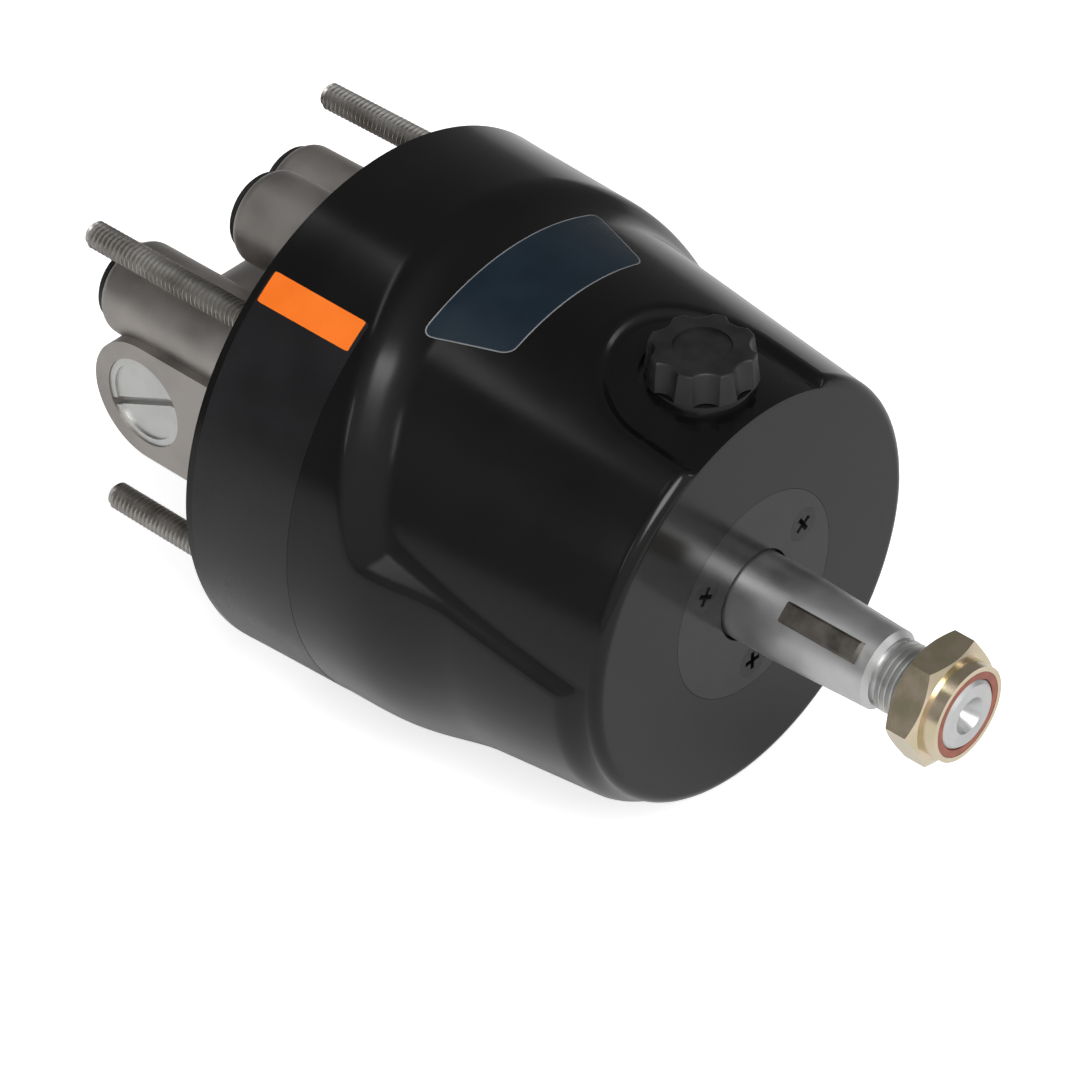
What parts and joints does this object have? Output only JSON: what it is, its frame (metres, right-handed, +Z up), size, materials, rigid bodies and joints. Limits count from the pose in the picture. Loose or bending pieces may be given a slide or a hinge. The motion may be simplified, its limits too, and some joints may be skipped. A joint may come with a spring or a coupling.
{
  "type": "hydraulic helm pump",
  "caption": "Axial-piston hydraulic helm pump with tapered keyed wheel shaft, rear dash studs, lock valve, hose ports and fluted filler cap.",
  "frame": {"origin": "on the shaft axis, at the rear face that meets the dash", "axes": "+Y to the rear along the shaft and the dash studs, +Z up through the filler cap, +X to the side with the right hose port; the wheel shaft points to -Y"},
  "size_m": [0.124, 0.2162, 0.124],
  "materials": {
    "housing_paint": "gloss",
    "rear_casting": "bead-blasted",
    "plate_paint": "gloss",
    "screw_black": "satin",
    "key_steel": "satin",
    "plug_steel": "bright",
    "plate_steel": "satin",
    "screw_steel": "satin",
    "shaft_steel": "satin",
    "stud_steel": "bright",
    "bearing_steel": "polished",
    "spring_steel": "satin",
    "block_iron": "machined",
    "cage_brass": "satin",
    "nut_zinc": "yellow zinc on steel",
    "nut_nylon": "satin",
    "rubber": "matte",
    "cap_plastic": "matte"
  },
  "bodies": {
    "pump_body": {"housing": "housing_paint", "rear_body": "rear_casting", "seal_plate": "plate_paint", "seal_plate_screws": "screw_black", "seal_plate_o_ring": "rubber", "shaft_seal": "rubber", "front_bearing_outer_race": "bearing_steel", "bearing_retaining_ring": "spring_steel", "swash_fixed_race": "bearing_steel", "valve_plate": "plate_steel", "valve_plate_dowels": "shaft_steel", "rear_body_o_ring": "rubber", "rear_body_screws": "screw_steel", "rear_bush": "cage_brass", "dash_studs": "stud_steel", "left_port_cap": "cap_plastic", "right_port_cap": "cap_plastic", "top_port_cap": "cap_plastic", "lock_valve_plug_left": "plug_steel", "lock_valve_plug_right": "plug_steel", "lock_valve_plug_o_rings": "rubber", "lock_valve_seats": "shaft_steel", "lock_valve_springs": "spring_steel"},
    "rotor": {"wheel_shaft": "shaft_steel", "shaft_key": "key_steel", "shaft_nut": "nut_zinc", "nut_lock_ring": "nut_nylon", "front_bearing_inner_race": "bearing_steel", "drive_pin": "shaft_steel", "cylinder_block": "block_iron", "piston_springs": "spring_steel"},
    "front_bearing_ball_set": {"front_bearing_balls": "bearing_steel", "front_bearing_cage": "cage_brass"},
    "swash_ball_set": {"swash_balls": "bearing_steel", "swash_ball_cage": "cage_brass"},
    "swash_race": {"swash_turning_race": "bearing_steel"},
    "lock_spool": {"lock_valve_spool": "shaft_steel"},
    "poppet_left": {"lock_valve_poppet_left": "shaft_steel"},
    "poppet_right": {"lock_valve_poppet_right": "shaft_steel"},
    "cap_ring": {"filler_cap_o_ring": "rubber"},
    "cap": {"filler_cap": "cap_plastic"},
    "piston_1": {"piston_1": "shaft_steel"},
    "piston_2": {"piston_2": "shaft_steel"},
    "piston_3": {"piston_3": "shaft_steel"},
    "piston_4": {"piston_4": "shaft_steel"},
    "piston_5": {"piston_5": "shaft_steel"},
    "piston_6": {"piston_6": "shaft_steel"},
    "piston_7": {"piston_7": "shaft_steel"}
  },
  "joints": [
    {"name": "shaft_spin", "type": "hinge", "parent": "pump_body", "child": "rotor", "pos_m": [0, 0, 0], "axis": [0, 1, 0], "continuous": true},
    {"name": "front_ball_set_spin", "type": "hinge", "parent": "pump_body", "child": "front_bearing_ball_set", "pos_m": [0, -0.0895, 0], "axis": [0, 1, 0], "continuous": true},
    {"name": "swash_ball_set_spin", "type": "hinge", "parent": "pump_body", "child": "swash_ball_set", "pos_m": [0, -0.0695, 0], "axis": [0, 0.9659, 0.2588], "continuous": true},
    {"name": "swash_race_spin", "type": "hinge", "parent": "pump_body", "child": "swash_race", "pos_m": [0, -0.0695, 0], "axis": [0, 0.9659, 0.2588], "continuous": true},
    {"name": "piston_1_slide", "type": "slide", "parent": "rotor", "child": "piston_1", "axis": [0, 1, 0], "range_m": [0, 0.0015], "stiffness_N_per_m": 1000, "springref_m": -0.004},
    {"name": "piston_2_slide", "type": "slide", "parent": "rotor", "child": "piston_2", "axis": [0, 1, 0], "range_m": [0, 0.0015], "stiffness_N_per_m": 1000, "springref_m": -0.004},
    {"name": "piston_3_slide", "type": "slide", "parent": "rotor", "child": "piston_3", "axis": [0, 1, 0], "range_m": [0, 0.0015], "stiffness_N_per_m": 1000, "springref_m": -0.004},
    {"name": "piston_4_slide", "type": "slide", "parent": "rotor", "child": "piston_4", "axis": [0, 1, 0], "range_m": [0, 0.0015], "stiffness_N_per_m": 1000, "springref_m": -0.004},
    {"name": "piston_5_slide", "type": "slide", "parent": "rotor", "child": "piston_5", "axis": [0, 1, 0], "range_m": [0, 0.0015], "stiffness_N_per_m": 1000, "springref_m": -0.004},
    {"name": "piston_6_slide", "type": "slide", "parent": "rotor", "child": "piston_6", "axis": [0, 1, 0], "range_m": [0, 0.0015], "stiffness_N_per_m": 1000, "springref_m": -0.004},
    {"name": "piston_7_slide", "type": "slide", "parent": "rotor", "child": "piston_7", "axis": [0, 1, 0], "range_m": [0, 0.0015], "stiffness_N_per_m": 1000, "springref_m": -0.004},
    {"name": "lock_spool_slide", "type": "slide", "parent": "pump_body", "child": "lock_spool", "axis": [1, 0, 0], "range_m": [-0.0012, 0.0012]},
    {"name": "poppet_left_slide", "type": "slide", "parent": "pump_body", "child": "poppet_left", "axis": [-1, 0, 0], "range_m": [0, 0.0015], "stiffness_N_per_m": 300, "springref_m": -0.003},
    {"name": "poppet_right_slide", "type": "slide", "parent": "pump_body", "child": "poppet_right", "axis": [1, 0, 0], "range_m": [0, 0.0015], "stiffness_N_per_m": 300, "springref_m": -0.003},
    {"name": "cap_lift", "type": "slide", "parent": "pump_body", "child": "cap_ring", "axis": [0, 0, 1], "range_m": [0, 0.009]},
    {"name": "cap_turn", "type": "hinge", "parent": "cap_ring", "child": "cap", "pos_m": [0, -0.0889, 0.0498], "axis": [0, 0, 1], "range_deg": [0, 1080]}
  ],
  "couplings": [
    {"joint": "front_ball_set_spin", "follows": "shaft_spin", "ratio": 0.40877},
    {"joint": "swash_ball_set_spin", "follows": "shaft_spin", "ratio": 0.5},
    {"joint": "swash_race_spin", "follows": "shaft_spin", "ratio": 1},
    {"joint": "cap_turn", "follows": "cap_lift", "rad_per_m": 2094.4}
  ]
}
